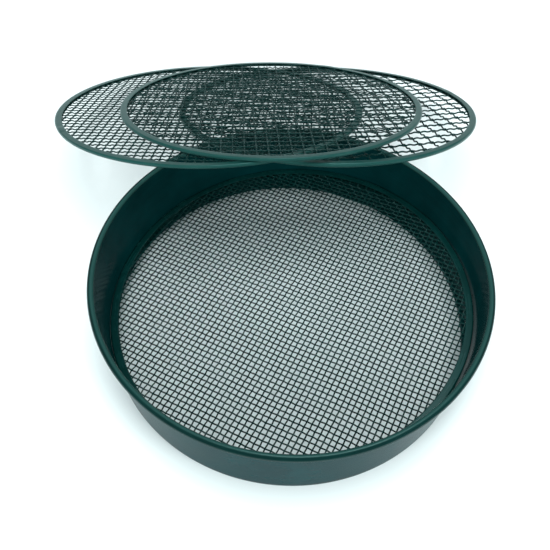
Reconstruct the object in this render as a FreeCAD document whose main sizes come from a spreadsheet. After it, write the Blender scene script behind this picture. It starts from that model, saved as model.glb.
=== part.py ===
import FreeCAD, Part
import Sketcher
import math
import os

# Soil sieve: a slightly conical sheet drum with a rolled top bead and a turned-in hem round
# its foot, one screen lying inside it and three more leaning over its back edge. Millimetres.
# +Z is up, the drum's axis is the Z axis, its foot stands on Z = 0, and the loose screens lie
# towards +Y. Each screen is a folded rim ring that clamps a disc of square-mesh wire cloth.

DIMENSIONS = [
    # the drum
    ("sheet_gauge", 0.8),
    ("foot_outer_radius", 176.0),
    ("bead_ring_radius", 182.0),
    ("bead_tube_radius", 3.0),
    ("bead_height", 81.0),
    ("bead_end_angle", 125.0),
    ("hem_inner_radius", 173.5),
    ("hem_height", 6.0),
    # what the screens share: the rim ring's section, and how far inside its edge the cloth's
    # border and the ends of the wires lie
    ("ring_width", 7.4),
    ("ring_gauge", 0.4),
    ("cloth_inset", 0.8),
    ("border_inset", 6.6),
    ("border_extra", 0.08),
    ("wire_end_inset", 3.5),
    ("layer_gap", 0.04),
    ("slot_clearance", 0.16),
    # each screen's outer radius and cloth, with the weave turned in the ring by so many degrees
    ("fine_radius", 176.0),
    ("fine_wire", 1.4),
    ("fine_pitch", 5.11),
    ("fine_count", 65),
    ("fine_turn", -30.3),
    ("medium_radius", 174.4),
    ("medium_wire", 1.4),
    ("medium_pitch", 8.52),
    ("medium_count", 38),
    ("medium_turn", -5.0),
    ("coarse_radius", 173.9),
    ("coarse_wire", 1.5),
    ("coarse_pitch", 11.55),
    ("coarse_count", 29),
    ("coarse_turn", 0.6),
    ("largest_radius", 174.4),
    ("largest_wire", 1.8),
    ("largest_pitch", 15.95),
    ("largest_count", 20),
    ("largest_turn", 11.8),
    # the fine screen lies a little askew in the drum
    ("inside_x", -0.1),
    ("inside_height", 29.9),
    ("inside_tilt", 0.7),
    ("inside_roll", -3.9),
    # the leaning stack: its lowest screen, then where the others lie in the plane above it
    ("lean_x", 55.1),
    ("lean_y", 246.1),
    ("lean_height", 63.5),
    ("lean_tilt", 20.35),
    ("lean_roll", -0.56),
    ("medium_across", -135.1),
    ("medium_along", -8.9),
    ("coarse_across", -65.1),
    ("coarse_along", -5.4),
    ("stack_gap", 0.3),
]

Z_UP = FreeCAD.Vector(0, 0, 1)
X_AXIS = FreeCAD.Vector(1, 0, 0)
Y_AXIS = FreeCAD.Vector(0, 1, 0)

doc = FreeCAD.newDocument("soil_sieve")
sheet = doc.addObject("Spreadsheet::Sheet", "sizes")
for row, (alias, value) in enumerate(DIMENSIONS, start=1):
    sheet.set("A%d" % row, alias)
    sheet.set("B%d" % row, str(value))
    sheet.setAlias("B%d" % row, alias)
doc.recompute()
size = {alias: float(sheet.get(alias)) for alias, value in DIMENSIONS}


def role_of(body, role):
    """The origin plane or axis of a body that plays this role."""
    return [f for f in body.Origin.OriginFeatures if f.Role == role][0]


def new_sketch(body, name, role):
    """An empty sketch on one of the body's own origin planes."""
    sketch = body.newObject("Sketcher::SketchObject", name)
    sketch.AttachmentSupport = [(role_of(body, role), "")]
    sketch.MapMode = "FlatFace"
    return sketch


def bind(sketch, kind, where, value, expression):
    """Add one driving dimension to a sketch and tie it to the sizes sheet."""
    index = sketch.addConstraint(Sketcher.Constraint(kind, *where, value))
    sketch.setExpression("Constraints[%d]" % index, expression)


def outline(body, name, corners):
    """A closed polygon on the XZ plane. Each corner is (radius, its formula, height, its formula)."""
    sketch = new_sketch(body, name, "XZ_Plane")
    count = len(corners)
    points = [FreeCAD.Vector(radius, height, 0) for radius, _, height, _ in corners]
    for i in range(count):
        sketch.addGeometry(Part.LineSegment(points[i], points[(i + 1) % count]), False)
        if i:
            sketch.addConstraint(Sketcher.Constraint("Coincident", i - 1, 2, i, 1))
    sketch.addConstraint(Sketcher.Constraint("Coincident", count - 1, 2, 0, 1))
    for i, (radius, radius_formula, height, height_formula) in enumerate(corners):
        bind(sketch, "DistanceX", (-1, 1, i, 1), radius, radius_formula)
        if height_formula:
            bind(sketch, "DistanceY", (-1, 1, i, 1), height, height_formula)
        else:
            sketch.addConstraint(Sketcher.Constraint("PointOnObject", i, 1, -1))
    return sketch


def circles(body, name, radii):
    """Circles round the Z axis on the XY plane. Each is (radius, its formula)."""
    sketch = new_sketch(body, name, "XY_Plane")
    for i, (radius, formula) in enumerate(radii):
        sketch.addGeometry(Part.Circle(FreeCAD.Vector(), Z_UP, radius), False)
        sketch.addConstraint(Sketcher.Constraint("Coincident", i, 3, -1, 1))
        bind(sketch, "Radius", (i,), radius, formula)
    return sketch


def revolve(body, name, sketch):
    """Turn a sketch a full turn about the body's Z axis."""
    feature = body.newObject("PartDesign::Revolution", name)
    feature.Profile = sketch
    feature.ReferenceAxis = (role_of(body, "Z_Axis"), [""])
    feature.Angle = 360
    doc.recompute()
    return feature


def drum_shell():
    """The drum: conical wall, rolled bead round its top and double-thickness hem at its foot."""
    body = doc.addObject("PartDesign::Body", "drum_shell")
    gauge = size["sheet_gauge"]
    foot = size["foot_outer_radius"]
    bead = size["bead_ring_radius"]
    tube = size["bead_tube_radius"]
    top = size["bead_height"]
    top_inner = "sizes.bead_ring_radius - sizes.bead_tube_radius"
    foot_inner = "sizes.foot_outer_radius - sizes.sheet_gauge"
    wall = outline(
        body,
        "wall_outline",
        [
            (foot - gauge, foot_inner, 0, None),
            (foot, "sizes.foot_outer_radius", 0, None),
            (bead - tube + gauge, top_inner + " + sizes.sheet_gauge", top, "sizes.bead_height"),
            (bead - tube, top_inner, top, "sizes.bead_height"),
        ],
    )
    revolve(body, "wall", wall)

    hem = outline(
        body,
        "hem_outline",
        [
            (size["hem_inner_radius"], "sizes.hem_inner_radius", 0, None),
            (foot - gauge / 2, "sizes.foot_outer_radius - sizes.sheet_gauge / 2", 0, None),
            (
                foot - gauge / 2,
                "sizes.foot_outer_radius - sizes.sheet_gauge / 2",
                size["hem_height"],
                "sizes.hem_height",
            ),
            (
                size["hem_inner_radius"],
                "sizes.hem_inner_radius",
                size["hem_height"],
                "sizes.hem_height",
            ),
        ],
    )
    revolve(body, "hem", hem)

    curl = new_sketch(body, "curl_outline", "XZ_Plane")
    centre = FreeCAD.Vector(bead, top, 0)
    begin = -math.radians(size["bead_end_angle"])
    radii = [(tube, "sizes.bead_tube_radius"), (tube - gauge, "sizes.bead_tube_radius - sizes.sheet_gauge")]
    for i, (radius, formula) in enumerate(radii):
        ring = Part.Circle(centre, Z_UP, radius)
        curl.addGeometry(Part.ArcOfCircle(ring, begin, math.pi), False)
        bind(curl, "Radius", (i,), radius, formula)
    lip = FreeCAD.Vector(math.cos(begin), math.sin(begin), 0)
    curl.addGeometry(Part.LineSegment(centre + lip * tube, centre + lip * (tube - gauge)), False)
    joint = FreeCAD.Vector(-1, 0, 0)
    curl.addGeometry(Part.LineSegment(centre + joint * tube, centre + joint * (tube - gauge)), False)
    for line, end in ((2, 1), (3, 2)):
        curl.addConstraint(Sketcher.Constraint("Coincident", line, 1, 0, end))
        curl.addConstraint(Sketcher.Constraint("Coincident", line, 2, 1, end))
    curl.addConstraint(Sketcher.Constraint("Coincident", 0, 3, 1, 3))
    curl.addConstraint(Sketcher.Constraint("Horizontal", 3))
    bind(curl, "DistanceX", (-1, 1, 0, 3), bead, "sizes.bead_ring_radius")
    bind(curl, "DistanceY", (-1, 1, 0, 3), top, "sizes.bead_height")
    curl.addConstraint(Sketcher.Constraint("PointOnObject", 0, 3, 3))
    revolve(body, "bead", curl)
    return body


def rim_ring(grade):
    """A screen's rim: a strip folded into a channel that opens towards the middle."""
    body = doc.addObject("PartDesign::Body", grade + "_ring")
    outer = size[grade + "_radius"]
    inner = outer - size["ring_width"]
    gauge = size["ring_gauge"]
    edge = "sizes.%s_radius" % grade
    lip = edge + " - sizes.ring_width"
    web = edge + " - sizes.ring_gauge"
    half = size[grade + "_wire"] + (size["layer_gap"] + size["slot_clearance"]) / 2
    slot = "(sizes.%s_wire + (sizes.layer_gap + sizes.slot_clearance) / 2)" % grade
    face = slot + " + sizes.ring_gauge"
    corners = [
        (inner, lip, half + gauge, face),
        (outer, edge, half + gauge, face),
        (outer, edge, -half - gauge, "-(%s)" % face),
        (inner, lip, -half - gauge, "-(%s)" % face),
        (inner, lip, -half, "-" + slot),
        (outer - gauge, web, -half, "-" + slot),
        (outer - gauge, web, half, slot),
        (inner, lip, half, slot),
    ]
    revolve(body, "channel", outline(body, "channel_outline", corners))
    return body


def wire_layer(body, grade, along, across, side):
    """One layer of the cloth: equal straight wires along one axis, set out evenly across it."""
    wire = size[grade + "_wire"]
    reach = (size[grade + "_count"] - 1) * size[grade + "_pitch"]
    sketch = new_sketch(body, "wire_%s_section" % along, across + "Z_Plane")
    level = (wire + size["layer_gap"]) / 2
    start = FreeCAD.Vector(-reach / 2, side * level, 0)
    sketch.addGeometry(Part.Circle(start, Z_UP, wire / 2), False)
    bind(sketch, "Radius", (0,), wire / 2, "sizes.%s_wire / 2" % grade)
    spread = "(sizes.%s_count - 1) * sizes.%s_pitch" % (grade, grade)
    bind(sketch, "DistanceX", (-1, 1, 0, 3), -reach / 2, "-%s / 2" % spread)
    rise = "%d * (sizes.%s_wire + sizes.layer_gap) / 2" % (side, grade)
    bind(sketch, "DistanceY", (-1, 1, 0, 3), side * level, rise)
    wires = body.newObject("PartDesign::Pad", "wire_" + along)
    wires.Profile = sketch
    wires.SideType = "Symmetric"
    wires.Refine = False
    wires.setExpression("Length", "2 * sizes.%s_radius" % grade)
    doc.recompute()
    rows = body.newObject("PartDesign::LinearPattern", "wires_" + along)
    rows.Originals = [wires]
    rows.Direction = (role_of(body, across + "_Axis"), [""])
    rows.setExpression("Length", spread)
    rows.setExpression("Occurrences", "sizes.%s_count" % grade)
    rows.Refine = False
    body.Tip = rows
    doc.recompute()
    return rows


def wire_cloth(grade):
    """A disc of wire cloth: two layers of wires whose ends are buried in a flat round border."""
    body = doc.addObject("PartDesign::Body", grade + "_mesh")
    wire_layer(body, grade, "X", "Y", 1)
    wire_layer(body, grade, "Y", "X", -1)
    outer = size[grade + "_radius"]
    rim = "sizes.%s_radius" % grade
    beyond = (2 * outer, "2 * " + rim)
    edge, bore, wire_ends = [
        (outer - size[inset], rim + " - sizes." + inset)
        for inset in ("cloth_inset", "border_inset", "wire_end_inset")
    ]
    before = body.Tip.Shape.Volume
    trim = body.newObject("PartDesign::Pocket", "trim")
    trim.Profile = circles(body, "trim_outline", [wire_ends, beyond])
    trim.SideType = "Symmetric"
    trim.Refine = False
    trim.setExpression("Length", "8 * sizes.%s_wire" % grade)
    doc.recompute()
    if trim.Shape.Volume >= before:
        raise RuntimeError(body.Label + ": the trim cut nothing")
    border = body.newObject("PartDesign::Pad", "border")
    border.Profile = circles(body, "border_outline", [edge, bore])
    border.SideType = "Symmetric"
    border.Refine = False
    both_layers = "2 * sizes.%s_wire + sizes.layer_gap" % grade
    border.setExpression("Length", both_layers + " + sizes.border_extra")
    doc.recompute()
    return body


def screen_thickness(grade):
    """How thick a screen's rim ring is, over both of its faces."""
    gaps = size["layer_gap"] + size["slot_clearance"]
    return 2 * (size[grade + "_wire"] + size["ring_gauge"]) + gaps


def askew(tilt, roll):
    """Turned so that the +Y edge drops by tilt and the +X edge by roll, in degrees."""
    return FreeCAD.Rotation(Y_AXIS, roll).multiply(FreeCAD.Rotation(X_AXIS, -tilt))


def place_screen(grade, parts, centre, turned):
    """Put a screen's ring and cloth at centre, with the cloth's weave turned within the ring."""
    ring, cloth = parts
    weave = FreeCAD.Rotation(Z_UP, size[grade + "_turn"])
    ring.Placement = FreeCAD.Placement(centre, turned)
    cloth.Placement = FreeCAD.Placement(centre, turned.multiply(weave))


drum = drum_shell()
screens = {}
for grade in ("fine", "medium", "coarse", "largest"):
    screens[grade] = (rim_ring(grade), wire_cloth(grade))

inside = FreeCAD.Vector(size["inside_x"], 0, size["inside_height"])
place_screen("fine", screens["fine"], inside, askew(size["inside_tilt"], size["inside_roll"]))

leaning = askew(size["lean_tilt"], size["lean_roll"])
across = leaning.multVec(X_AXIS)
along = leaning.multVec(Y_AXIS)
upward = leaning.multVec(Z_UP)
lowest = FreeCAD.Vector(size["lean_x"], size["lean_y"], size["lean_height"])
place_screen("largest", screens["largest"], lowest, leaning)
level = screen_thickness("largest") / 2
for grade in ("medium", "coarse"):
    level += size["stack_gap"] + screen_thickness(grade) / 2
    within = across * size[grade + "_across"] + along * size[grade + "_along"]
    place_screen(grade, screens[grade], lowest + within + upward * level, leaning)
    level += screen_thickness(grade) / 2

doc.recompute()
for item in doc.Objects:
    if "Invalid" in item.State or "Error" in item.State:
        raise RuntimeError("%s did not build: %s" % (item.Label, item.State))

parts = [drum] + [part for pair in screens.values() for part in pair]
for part in parts:
    if part.Shape.isNull() or not part.Shape.isValid():
        raise RuntimeError(part.Label + " has no valid shape")
    if len(part.Shape.Solids) != 1:
        raise RuntimeError("%s has %d solids" % (part.Label, len(part.Shape.Solids)))

os.makedirs("parts", exist_ok=True)
for part in parts:
    part.Shape.exportStep("parts/%s.step" % part.Label)
    box = part.Shape.BoundBox
    spans = (box.XMin, box.XMax, box.YMin, box.YMax, box.ZMin, box.ZMax)
    print(part.Label, round(part.Shape.Volume), " ".join("%.2f" % span for span in spans))
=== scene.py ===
import math
import random

import bpy
import numpy as np
from mathutils import Matrix, Vector


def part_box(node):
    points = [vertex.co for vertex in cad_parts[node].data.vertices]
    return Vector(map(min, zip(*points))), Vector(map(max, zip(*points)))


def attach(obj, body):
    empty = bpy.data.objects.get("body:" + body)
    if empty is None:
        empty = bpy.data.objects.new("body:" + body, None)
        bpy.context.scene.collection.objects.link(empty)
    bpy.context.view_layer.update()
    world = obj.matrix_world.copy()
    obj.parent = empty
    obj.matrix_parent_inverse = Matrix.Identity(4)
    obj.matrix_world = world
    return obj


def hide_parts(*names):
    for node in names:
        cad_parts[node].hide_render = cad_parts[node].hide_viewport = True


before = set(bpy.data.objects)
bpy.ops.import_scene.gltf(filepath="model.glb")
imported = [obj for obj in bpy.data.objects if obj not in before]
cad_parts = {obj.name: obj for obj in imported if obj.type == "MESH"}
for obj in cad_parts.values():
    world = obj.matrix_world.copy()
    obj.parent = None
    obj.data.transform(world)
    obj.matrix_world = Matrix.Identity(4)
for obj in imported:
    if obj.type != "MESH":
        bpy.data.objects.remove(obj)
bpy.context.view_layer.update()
MM = 0.001
TURN = 2 * math.pi

# The drum, in metres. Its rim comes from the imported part, the rest is as part.py has it.
DRUM_LOW, DRUM_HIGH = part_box("drum_shell")
RIM_RADIUS = (DRUM_HIGH.x - DRUM_LOW.x) / 2
BEAD_TUBE = 3.0 * MM
BEAD_RING = RIM_RADIUS - BEAD_TUBE
BEAD_HEIGHT = DRUM_HIGH.z - BEAD_TUBE
FOOT_RADIUS = 176.0 * MM
FOOT_FOLD = 1.25 * MM
SHEET = 0.8 * MM
HEM_RADIUS = 173.5 * MM
HEM_HEIGHT = 6.0 * MM
HEM_FOLD = 1.2 * MM
WALL_SLOPE = (BEAD_RING - BEAD_TUBE + SHEET - FOOT_RADIUS) / BEAD_HEIGHT
WALL_STEPS = 18
DRUM_SEGMENTS = 720

# Where the ends of the drum's strip lap, and how far the outer end stands proud.
SIDE_SEAM = math.radians(97)
LAP_REACH = 9 * MM
LAP_STEP = 1.2 * MM
LAP_RISE = 0.6 * MM

# Each screen: outer radius, wire and pitch in millimetres, wires each way, the weave's turn in
# the ring, and how the screen is tilted and rolled, in degrees, as part.py has them. The centres
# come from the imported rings.
LEAN = (20.35, -0.56)
SCREENS = {
    "fine": dict(radius=176.0, wire=1.4, pitch=5.11, count=65, turn=-30.3, tilt=(0.7, -3.9)),
    "medium": dict(radius=174.4, wire=1.4, pitch=8.52, count=38, turn=-5.0, tilt=LEAN),
    "coarse": dict(radius=173.9, wire=1.5, pitch=11.55, count=29, turn=0.6, tilt=LEAN),
    "largest": dict(radius=174.4, wire=1.8, pitch=15.95, count=20, turn=11.8, tilt=LEAN),
}
BODIES = {
    "fine": "inner_screen",
    "medium": "left_screen",
    "coarse": "top_screen",
    "largest": "right_screen",
}
# Where each ring's strip laps, in degrees round it.
SEAMS = {"fine": 129, "medium": 205, "coarse": 62, "largest": 18}
RING_WIDTH = 7.4 * MM
RING_GAUGE = 0.4 * MM
RING_PLAY = 0.1 * MM
RING_ROUNDING = 0.35 * MM
RING_SEGMENTS = 480
CORNER = 0.12 * MM
WIRE_END = 3.5 * MM

# A wire has six sides, and two quads close each of its ends.
WIRE_SIDES = 6
START_CAP = np.array([[3, 2, 1, 0], [5, 4, 3, 0]])
END_CAP = np.array([[0, 1, 2, 3], [0, 3, 4, 5]])
# How far the wires along X and along Y swing up and down, in wire thicknesses.
CRIMP = (0.28, 0.42)
# Weaves closer than this are kept as two pieces each.
CLOSE_PITCH = 10


# ------------------------------------------------------------------ meshes

def new_piece(name, points, faces, body, material):
    """A smooth mesh object from numpy points and quads, riding on a body."""
    mesh = bpy.data.meshes.new(name)
    mesh.vertices.add(len(points))
    mesh.vertices.foreach_set("co", np.asarray(points, np.float32).ravel())
    faces = np.asarray(faces, np.int32)
    sides = faces.shape[1]
    mesh.loops.add(faces.size)
    mesh.loops.foreach_set("vertex_index", faces.ravel())
    mesh.polygons.add(len(faces))
    mesh.polygons.foreach_set("loop_start", np.arange(0, faces.size, sides, dtype=np.int32))
    mesh.polygons.foreach_set("use_smooth", np.full(len(faces), True))
    mesh.update()
    mesh.validate()
    obj = bpy.data.objects.new(name, mesh)
    bpy.context.scene.collection.objects.link(obj)
    mesh.materials.append(material)
    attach(obj, body)
    return obj


def lathe(profile, segments, shape):
    """Points and quads of a closed profile of (radius, height), turned about Z and bent by shape."""
    profile = np.asarray(profile, float)
    count = len(profile)
    angle = np.arange(segments) * TURN / segments
    radius = np.broadcast_to(profile[:, 0], (segments, count)).copy()
    height = np.broadcast_to(profile[:, 1], (segments, count)).copy()
    radius, height = shape(angle[:, None], radius, height)
    x, y = radius * np.cos(angle)[:, None], radius * np.sin(angle)[:, None]
    points = np.stack([x, y, height], axis=-1)
    i, j = np.meshgrid(np.arange(segments), np.arange(count), indexing="ij")
    here, ahead, above = i * count, (i + 1) % segments * count, (j + 1) % count
    faces = np.stack([here + j, ahead + j, ahead + above, here + above], axis=-1)
    return points.reshape(-1, 3), faces.reshape(-1, 4)


def arc(centre, radius, start, end, steps):
    """Points on an arc in the (radius, height) plane, in degrees."""
    turns = np.radians(np.linspace(start, end, steps))
    return [(centre[0] + radius * math.cos(t), centre[1] + radius * math.sin(t)) for t in turns]


def wander(angle, seed, lowest, highest, size):
    """A smooth random curve round a circle, made of whole waves."""
    draw = random.Random(seed)
    total = np.zeros_like(angle)
    for waves in range(lowest, highest + 1):
        share = draw.uniform(-1, 1)
        total = total + share * np.sin(waves * angle + draw.uniform(0, TURN)) / waves ** 0.5
    return size * total / (highest - lowest + 1) ** 0.5


# ------------------------------------------------------------------ materials

def plug(tree, socket, value):
    """Link a socket to another node's output, or give it a plain value."""
    if isinstance(value, bpy.types.NodeSocket):
        tree.links.new(value, socket)
    else:
        socket.default_value = value


def node(tree, kind, **inputs):
    """A shader node. set_NAME gives a property, iN the input of that number, NAME a named input."""
    made = tree.nodes.new(kind)
    for key, value in inputs.items():
        if key.startswith("set_"):
            setattr(made, key[4:], value)
        elif key[0] == "i" and key[1:].isdigit():
            plug(tree, made.inputs[int(key[1:])], value)
        else:
            plug(tree, made.inputs[key.replace("_", " ")], value)
    return made


def maths(tree, operation, a, b=0.0, clamp=False):
    made = node(tree, "ShaderNodeMath", set_operation=operation, set_use_clamp=clamp, i0=a, i1=b)
    return made.outputs[0]


def added(tree, a, b, clamp=False):
    return maths(tree, "ADD", a, b, clamp)


def times(tree, a, b):
    return maths(tree, "MULTIPLY", a, b)


def noise_of(tree, vector, scale, detail, rough):
    made = node(tree, "ShaderNodeTexNoise", Vector=vector, Scale=scale, Detail=detail, Roughness=rough)
    return made.outputs["Fac"]


def ramp_of(tree, value, low, high, to_low=0.0, to_high=1.0):
    made = node(tree, "ShaderNodeMapRange", set_clamp=True, i0=value, i1=low, i2=high, i3=to_low, i4=to_high)
    made.interpolation_type = "SMOOTHSTEP"
    return made.outputs[0]


def blend_of(tree, share, first, second):
    """A mix of two colours. The Mix node keeps its colour sockets at 6 and 7."""
    made = tree.nodes.new("ShaderNodeMix")
    made.data_type = "RGBA"
    for number, value in ((0, share), (6, first), (7, second)):
        plug(tree, made.inputs[number], value)
    return made.outputs[2]


def rgb(red, green, blue):
    return (red, green, blue, 1.0)


SHEEN_TINT = rgb(0.55, 0.95, 0.93)
STREAK_DENSITY = 260.0
# A painted highlight lies on the bead above this height, from all over it to nothing between these radii.
HIGHLIGHT_HEIGHT = 82 * MM
HIGHLIGHT_RADII = (181.3 * MM, 183.2 * MM)


def painted_steel(name, deep, thin, scuff, roughness, peel,
                  streak=0.3, grain=900.0, gloss=0.45, painted_highlight=False):
    """Enamel on steel: mottled colour, streaks round the part, orange peel, paler worn spots and, for the
    bead, a painted highlight.
    """
    material = bpy.data.materials.new(name)
    material.use_nodes = True
    tree = material.node_tree
    shader = tree.nodes["Principled BSDF"]
    place = node(tree, "ShaderNodeTexCoord").outputs["Object"]
    x, y, z = node(tree, "ShaderNodeSeparateXYZ", Vector=place).outputs

    # streaks follow the strip round: fine across it, long along it
    radius = maths(tree, "SQRT", added(tree, times(tree, x, x), times(tree, y, y)))
    along_x = maths(tree, "DIVIDE", x, radius)
    along_y = maths(tree, "DIVIDE", y, radius)
    across = times(tree, added(tree, radius, z), STREAK_DENSITY)
    round_it = node(tree, "ShaderNodeCombineXYZ", X=along_x, Y=along_y, Z=across).outputs[0]
    streaks = noise_of(tree, round_it, scale=2.6, detail=4.0, rough=0.6)
    mottle = noise_of(tree, place, scale=38.0, detail=4.0, rough=0.55)
    broad = noise_of(tree, place, scale=9.0, detail=2.0, rough=0.5)
    share = added(tree, times(tree, mottle, 0.6), times(tree, streaks, streak))
    share = ramp_of(tree, added(tree, share, times(tree, broad, 0.3)), 0.25, 0.95)
    colour = blend_of(tree, share, deep, thin)
    # a paler band along the bead's inner top: painted highlight
    if painted_highlight:
        top = ramp_of(tree, z, HIGHLIGHT_HEIGHT - 1.0 * MM, HIGHLIGHT_HEIGHT + 1.0 * MM)
        highlight_band = times(tree, top, ramp_of(tree, radius, *HIGHLIGHT_RADII, 0.85, 0.0))
        colour = blend_of(tree, highlight_band, colour, blend_of(tree, 0.28, thin, scuff))
    specks = ramp_of(tree, noise_of(tree, place, scale=420.0, detail=3.0, rough=0.7), 0.70, 0.78)
    patches = ramp_of(tree, noise_of(tree, place, scale=22.0, detail=3.0, rough=0.6), 0.52, 0.70)
    worn = times(tree, times(tree, specks, patches), 0.7)
    tree.links.new(blend_of(tree, worn, colour, scuff), shader.inputs["Base Color"])

    rough = added(tree, roughness - 0.06, times(tree, mottle, 0.09))
    rough = added(tree, rough, times(tree, streaks, 0.05))
    rough = added(tree, rough, times(tree, worn, 0.25), clamp=True)
    tree.links.new(rough, shader.inputs["Roughness"])
    shader.inputs["Specular IOR Level"].default_value = gloss
    shader.inputs["Specular Tint"].default_value = SHEEN_TINT
    shader.inputs["IOR"].default_value = 1.5

    orange = noise_of(tree, place, scale=grain, detail=2.0, rough=0.5)
    waves = added(tree, orange, times(tree, streaks, 0.8))
    bump = node(tree, "ShaderNodeBump", Height=waves, Distance=peel, Strength=1.0)
    tree.links.new(bump.outputs[0], shader.inputs["Normal"])
    return material


OUTER_PAINT = painted_steel(
    "drum_outside_enamel", deep=rgb(0.0005, 0.020, 0.0235), thin=rgb(0.001, 0.039, 0.043),
    scuff=rgb(0.04, 0.11, 0.11), roughness=0.20, peel=0.01 * MM, grain=300.0, gloss=0.018)
# The drum's enamel made darker for its inside and for the roll's underside: painted shade.
SHADED_DRUM_PAINT = painted_steel(
    "drum_enamel_painted_shade", deep=rgb(0.0004, 0.0135, 0.0145), thin=rgb(0.001, 0.028, 0.030),
    scuff=rgb(0.04, 0.11, 0.10), roughness=0.17, peel=0.01 * MM, grain=300.0, gloss=0.02)
# The drum's enamel made darker for the bead, as painted shade, with a painted highlight along its top.
BEAD_SHADE_AND_HIGHLIGHT_PAINT = painted_steel(
    "drum_bead_painted_shade_and_highlight", deep=rgb(0.0004, 0.008, 0.0075), thin=rgb(0.001, 0.019, 0.0175),
    scuff=rgb(0.05, 0.15, 0.135), roughness=0.20, peel=0.02 * MM, grain=300.0, gloss=0.30, painted_highlight=True)
RING_PAINT = painted_steel(
    "ring_enamel", deep=rgb(0.004, 0.038, 0.034), thin=rgb(0.011, 0.057, 0.050),
    scuff=rgb(0.12, 0.20, 0.18), roughness=0.30, peel=0.02 * MM)
# The rings' enamel made darker for the ring that sits in the drum: painted shade from the drum's walls.
SHADED_RING_PAINT = painted_steel(
    "ring_enamel_painted_shade", deep=rgb(0.0004, 0.013, 0.0125), thin=rgb(0.0012, 0.026, 0.024),
    scuff=rgb(0.05, 0.12, 0.11), roughness=0.26, peel=0.02 * MM, gloss=0.22)
WIRE_PAINT = painted_steel(
    "wire_enamel", deep=rgb(0.0004, 0.015, 0.0135), thin=rgb(0.0015, 0.030, 0.027),
    scuff=rgb(0.04, 0.11, 0.10), roughness=0.26, peel=0.02 * MM, streak=0.15, grain=1500.0)


# ------------------------------------------------------------------ the drum

def wall_radius(level):
    """The radius of the wall's outer face at a height."""
    return FOOT_RADIUS + WALL_SLOPE * level


def drum_profile():
    """The sheet's section: up the outside, round the rolled bead, down the inside and round the hem."""
    bead = (BEAD_RING, BEAD_HEIGHT)
    outline = arc((FOOT_RADIUS - FOOT_FOLD, FOOT_FOLD), FOOT_FOLD, -90, 0, 6)
    for level in np.linspace(4 * MM, BEAD_HEIGHT - 2 * MM, WALL_STEPS):
        outline.append((wall_radius(level), level))
    # the roll's inner face, round to its loose end, and its outer face back again
    outline += arc(bead, BEAD_TUBE - SHEET, 180, -120, 26)
    outline += arc(bead, BEAD_TUBE, -125, 180, 40)
    for level in np.linspace(BEAD_HEIGHT - 3 * MM, HEM_HEIGHT + 1.2 * MM, WALL_STEPS):
        outline.append((wall_radius(level) - SHEET, level))
    seat = wall_radius(HEM_HEIGHT) - SHEET
    outline += [(seat, HEM_HEIGHT + 0.15 * MM), (seat - 0.35 * MM, HEM_HEIGHT)]
    outline += [(HEM_RADIUS + 0.5 * MM, HEM_HEIGHT - 0.05 * MM)]
    outline += [(HEM_RADIUS + 0.1 * MM, HEM_HEIGHT - 0.4 * MM)]
    outline += [(HEM_RADIUS, level) for level in (5 * MM, 3.5 * MM, 2.4 * MM)]
    outline += arc((HEM_RADIUS + HEM_FOLD, HEM_FOLD), HEM_FOLD, 180, 262, 6)
    return outline


def drum_shape(angle, radius, height):
    """A sheet is never quite true: slow waves in the wall, a little wander in the roll of the bead."""
    lift = np.clip(height / BEAD_HEIGHT, 0, 1)
    wall = wander(angle, seed=3, lowest=2, highest=5, size=0.22 * MM) * lift
    wall = wall + wander(angle, seed=5, lowest=6, highest=12, size=0.05 * MM)
    belly = wander(angle, seed=8, lowest=3, highest=9, size=0.10 * MM) * np.sin(math.pi * lift)
    # the strip's ends lap at the back: the outer end stands proud of the wall under it
    outer = radius > wall_radius(height) - SHEET / 2
    along = (angle - SIDE_SEAM) * FOOT_RADIUS
    edge = np.clip((along + LAP_REACH) / LAP_STEP, 0, 1)
    fade = np.clip((LAP_REACH - along) / LAP_REACH, 0, 1) ** 0.5
    foot_end = np.clip((height - 1.5 * MM) / (2 * MM), 0, 1)
    bead_end = np.clip((BEAD_HEIGHT - 3 * MM - height) / (3 * MM), 0, 1)
    lap = np.where(outer, LAP_RISE, 0.0) * edge * fade * foot_end * bead_end
    rise = wander(angle, seed=9, lowest=3, highest=8, size=0.08 * MM) * lift
    return radius + wall + belly + lap, height + rise


def paint_numbers(points, faces):
    """Which of the drum's paints each face has: 0 outside, 1 inside and as a painted shadow under the bead,
    2 bead.
    """
    centres = points[faces].mean(axis=1)
    across, level = np.hypot(centres[:, 0], centres[:, 1]), centres[:, 2]
    inside = across < wall_radius(level) - SHEET / 2
    # the roll's lower, outer half takes the darker enamel: a painted shadow under the bead
    bead_shadow = (across > BEAD_RING - 1.5 * MM) & (level < BEAD_HEIGHT + 0.5 * MM)
    paints = np.where(level > BEAD_HEIGHT - 1.2 * MM, 2, np.where(inside, 1, 0))
    return np.where(bead_shadow, 1, paints).astype(np.int32)


def make_drum():
    points, faces = lathe(drum_profile(), DRUM_SEGMENTS, drum_shape)
    drum = new_piece("drum", points, faces, "drum", OUTER_PAINT)
    drum.data.materials.append(SHADED_DRUM_PAINT)
    drum.data.materials.append(BEAD_SHADE_AND_HIGHLIGHT_PAINT)
    drum.data.polygons.foreach_set("material_index", paint_numbers(points, faces))
    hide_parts("drum_shell")


# ------------------------------------------------------------------ the screens

def placed(name, facts):
    """The matrix that takes a screen from its own flat frame to where the CAD has it."""
    low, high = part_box(name + "_ring")
    tilt, roll = facts["tilt"]
    turned = Matrix.Rotation(math.radians(roll), 4, "Y") @ Matrix.Rotation(math.radians(-tilt), 4, "X")
    return Matrix.Translation((low + high) / 2) @ turned


def move_to(obj, matrix, body):
    """Put a piece, made round the origin, where its screen is."""
    obj.parent = None
    obj.matrix_world = matrix
    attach(obj, body)


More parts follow.
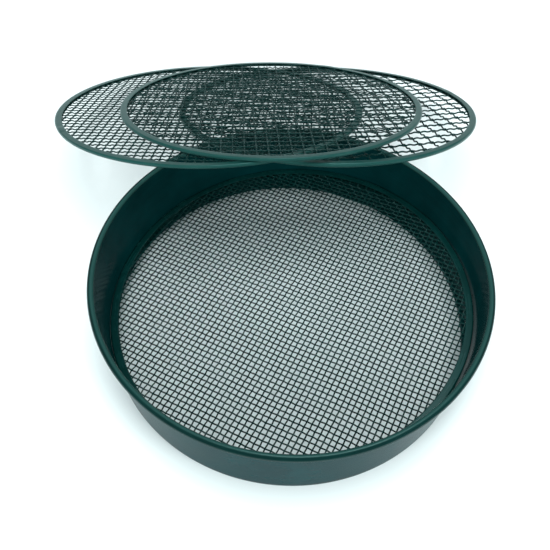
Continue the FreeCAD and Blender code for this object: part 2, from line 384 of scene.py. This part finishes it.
def ring_profile(outside, half):
    """The folded strip's section: two flanges that pinch the cloth, joined by a rounded web."""
    fold = half - RING_ROUNDING
    web = outside - fold
    bore = outside - RING_WIDTH
    lip = half - CORNER
    outer = [(bore + CORNER, lip), (bore + 0.6 * MM, half - 0.03 * MM)]
    outer += [(r, half) for r in np.linspace(bore + 1.6 * MM, web, 5)]
    outer += arc((web, half - fold), fold, 80, 0, 8)
    outer += [(outside, 0.0)]
    outer += arc((web, -half + fold), fold, 0, -80, 8)
    outer += [(r, -half) for r in np.linspace(web, bore + 1.6 * MM, 5)]
    outer += [(bore + 0.6 * MM, -half + 0.03 * MM), (bore + CORNER, -lip)]
    # the inside of the fold, from the lower lip round to the upper one
    inner, back = half - RING_GAUGE, outside - RING_GAUGE
    inside = [(bore, -lip + CORNER), (bore, -inner + CORNER), (bore + 1.2 * MM, -inner)]
    inside += [(outside - 1.1 * MM, -inner), (back, -inner + 0.6 * MM)]
    inside += [(back, inner - 0.6 * MM), (outside - 1.1 * MM, inner)]
    inside += [(bore + 1.2 * MM, inner), (bore, inner - CORNER), (bore, lip - CORNER)]
    return outer + inside


def ring_shape(outside, seam, seed):
    """The strip's inner edge wanders a little, its faces are faintly uneven, and its ends lap."""
    def shape(angle, radius, height):
        across = np.clip((radius - outside) / RING_WIDTH + 1, 0, 1)
        edge = (1 - across) * wander(angle, seed, lowest=3, highest=22, size=0.30 * MM)
        waves = wander(angle, seed + 1, lowest=5, highest=40, size=0.10 * MM)
        dent = np.sin(math.pi * across) * (waves - 0.04 * MM)
        off = np.abs((angle - math.radians(seam) + math.pi) % TURN - math.pi) * outside
        lap = np.clip((7.5 * MM - off) / (0.5 * MM), 0, 1) * 0.22 * MM
        side = np.sign(height)
        rise = np.where(side > 0, lap, 0.0) * np.clip(across * 3, 0.3, 1)
        return radius + edge, height + side * np.minimum(dent, 0.0) + rise
    return shape


def one_wire(run, off, way, level, slope, wire):
    """Points and quads of a wire that follows level along its run, closed at both ends."""
    up = np.stack([-slope, np.ones_like(slope)], axis=-1)
    up /= np.linalg.norm(up, axis=1)[:, None]
    ring = np.arange(WIRE_SIDES) * TURN / WIRE_SIDES
    sideways, upwards = np.cos(ring)[None, :] * wire / 2, np.sin(ring)[None, :] * wire / 2
    along = run[:, None] + up[:, :1] * upwards
    side = off + sideways + 0 * along
    height = level[:, None] + up[:, 1:] * upwards
    x, y = (along, side) if way == 0 else (side, along)
    points = np.stack([x, y, height], axis=-1).reshape(-1, 3)

    last = len(run) - 1
    row, corner = np.meshgrid(np.arange(last), np.arange(WIRE_SIDES), indexing="ij")
    here, ahead, following = row * WIRE_SIDES, (row + 1) * WIRE_SIDES, (corner + 1) % WIRE_SIDES
    quads = np.stack([here + corner, here + following, ahead + following, ahead + corner], axis=-1)
    quads = np.concatenate([quads.reshape(-1, 4), START_CAP, END_CAP + last * WIRE_SIDES])
    return points, quads if way == 0 else quads[:, ::-1]


def pull_askew(points, seed):
    """Draw the whole cloth a little out of true, so that crossings stay crossings."""
    draw = random.Random(seed)
    x, y = points[:, 0].copy(), points[:, 1].copy()
    for _ in range(6):
        size, fx, fy = draw.uniform(-1, 1), draw.uniform(4, 14), draw.uniform(4, 14)
        start = draw.uniform(0, TURN)
        points[:, 0] += 0.22 * MM * size * np.sin(fx * TURN * y + start)
        points[:, 1] += 0.22 * MM * size * np.sin(fy * TURN * x + 2 * start)
        points[:, 2] += 0.05 * MM * size * np.sin(fx * 4 * x + start) * np.cos(fy * 4 * y)


def turn_cloth(points, degrees):
    """Turn the weave in its ring: the cloth is cut at an angle to its wires."""
    turn = math.radians(degrees)
    x, y = points[:, 0].copy(), points[:, 1].copy()
    points[:, 0] = x * math.cos(turn) - y * math.sin(turn)
    points[:, 1] = x * math.sin(turn) + y * math.cos(turn)


def woven(facts, reach, ways, bends, steps, seed):
    """Wires of plain-woven cloth, each bent over and under the ones it crosses. ways says which
    direction the wires run: 0 along X, 1 along Y."""
    wire, pitch, count = facts["wire"] * MM, facts["pitch"] * MM, facts["count"]
    first = -(count - 1) / 2 * pitch
    step = pitch / steps
    # an odd number of bends in each cell, so that every crossing changes side
    turns = bends * math.pi / pitch
    points, faces, base = [], [], 0
    for way in ways:
        for i in range(count):
            off = first + i * pitch
            half = math.sqrt(reach ** 2 - off ** 2)
            lowest, highest = math.ceil((-half - first) / step), math.floor((half - first) / step)
            run = np.concatenate([[-half], first + np.arange(lowest, highest + 1) * step, [half]])
            run = run[np.concatenate([[True], np.diff(run) > 0.1 * step])]
            swing = (-1) ** (i + way) * CRIMP[way] * wire
            level = swing * np.cos(turns * (run - first))
            slope = -swing * turns * np.sin(turns * (run - first))
            wire_points, quads = one_wire(run, off, way, level, slope, wire)
            points.append(wire_points)
            faces.append(quads + base)
            base += len(wire_points)
    points = np.concatenate(points)
    pull_askew(points, seed)
    turn_cloth(points, facts["turn"])
    return points, np.concatenate(faces)


def make_screen(number, name, facts):
    """One screen: its ring and its cloth, riding on one body."""
    body, outside = BODIES[name], facts["radius"] * MM
    half = facts["wire"] * MM + RING_PLAY + RING_GAUGE
    matrix = placed(name, facts)
    shape = ring_shape(outside, SEAMS[name], seed=20 + 3 * number)
    points, faces = lathe(ring_profile(outside, half), RING_SEGMENTS, shape)
    # the ring sitting in the drum takes the darker copy of the enamel: painted shade
    paint = SHADED_RING_PAINT if name == "fine" else RING_PAINT
    rim = new_piece(name + "_rim", points, faces[:, ::-1], body, paint)
    move_to(rim, matrix, body)
    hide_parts(name + "_ring")
    # the closest weaves are kept as two pieces each, warp and weft
    split = {"_warp": (0,), "_weft": (1,)} if facts["pitch"] < CLOSE_PITCH else {"": (0, 1)}
    bends, steps = (1, 4) if name == "fine" else (3, 11)
    for part, ways in split.items():
        points, faces = woven(facts, outside - WIRE_END, ways, bends, steps, seed=40 + number)
        cloth = new_piece(name + "_cloth" + part, points, faces, body, WIRE_PAINT)
        move_to(cloth, matrix, body)
        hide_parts(name + "_mesh")


# ------------------------------------------------------------------ stage, light and camera

FLOOR_REACH = 6.0
FLOOR_DROP = 0.2 * MM
FLOOR_COLOUR = rgb(0.76, 0.865, 0.87)
SKY_COLOUR = rgb(0.93, 0.97, 1.0)
SKY_STRENGTH = 0.33
CAMERA_SPOT = (-0.04094, -0.34788, 0.53894)
CAMERA_YAW, CAMERA_PITCH, CAMERA_ROLL = 0.126, 0.888, -0.079
CAMERA_LENS = 40.87
CAMERA_SHIFT = (-0.0431, -0.0555)


def staged_floor():
    size = FLOOR_REACH
    corners = [(-size, -size, 0), (size, -size, 0), (size, size, 0), (-size, size, 0)]
    mesh = bpy.data.meshes.new("floor")
    mesh.from_pydata(corners, [], [(0, 1, 2, 3)])
    floor = bpy.data.objects.new("floor", mesh)
    bpy.context.scene.collection.objects.link(floor)
    floor.location.z = -FLOOR_DROP
    material = bpy.data.materials.new("pale_floor")
    material.use_nodes = True
    shader = material.node_tree.nodes["Principled BSDF"]
    shader.inputs["Base Color"].default_value = FLOOR_COLOUR
    shader.inputs["Roughness"].default_value = 0.6
    shader.inputs["Specular IOR Level"].default_value = 0.2
    mesh.materials.append(material)


def soft_light(name, spot, aim, size, power):
    data = bpy.data.lights.new(name, "AREA")
    data.shape = "RECTANGLE"
    data.size, data.size_y = size
    data.energy = power
    lamp = bpy.data.objects.new(name, data)
    bpy.context.scene.collection.objects.link(lamp)
    lamp.location = spot
    lamp.rotation_euler = (Vector(aim) - Vector(spot)).to_track_quat("-Z", "Y").to_euler()
    return lamp


def studio():
    scene = bpy.context.scene
    world = bpy.data.worlds.new("studio")
    scene.world = world
    world.use_nodes = True
    sky = world.node_tree.nodes["Background"]
    sky.inputs["Color"].default_value = SKY_COLOUR
    sky.inputs["Strength"].default_value = SKY_STRENGTH
    # a wide light high above keeps the shadows short, and two low ones whiten the floor round the
    # drum but not the floor inside it: all three stay out of the paint's reflections
    above = soft_light("overhead", (0.0, 0.15, 4.0), aim=(0.0, 0.15, 0), size=(2.6, 2.6), power=178.0)
    above.visible_glossy = False
    for name, x in (("left_front", -1.6), ("right_front", 1.6)):
        low = soft_light(name, (x, -1.35, 0.95), aim=(0.0, 0.1, 0), size=(0.9, 0.6), power=33.0)
        low.visible_glossy = False
    # a panel behind, seen only as a sheen on paint and wires
    panel = soft_light("panel", (0.20, 0.46, 1.6), aim=(0.08, -0.1, 0), size=(0.5, 0.5), power=6.0)
    panel.visible_diffuse = False
    scene.view_settings.view_transform = "Standard"


def camera():
    data = bpy.data.cameras.new("camera")
    data.sensor_width = 36.0
    data.lens = CAMERA_LENS
    data.shift_x, data.shift_y = CAMERA_SHIFT
    data.clip_start, data.clip_end = 0.01, 50
    cam = bpy.data.objects.new("camera", data)
    bpy.context.scene.collection.objects.link(cam)
    bpy.context.scene.camera = cam
    yaw, pitch, roll = CAMERA_YAW, CAMERA_PITCH, CAMERA_ROLL
    flat = math.cos(pitch)
    ahead = Vector((math.sin(yaw) * flat, math.cos(yaw) * flat, -math.sin(pitch)))
    right = Vector((math.cos(yaw), -math.sin(yaw), 0))
    down = ahead.cross(right)
    across = right * math.cos(roll) + down * math.sin(roll)
    upward = right * math.sin(roll) - down * math.cos(roll)
    turned = Matrix((across, upward, -ahead)).transposed()
    cam.matrix_world = Matrix.Translation(CAMERA_SPOT) @ turned.to_4x4()


make_drum()
for number, (name, facts) in enumerate(SCREENS.items()):
    make_screen(number, name, facts)
staged_floor()
studio()
camera()
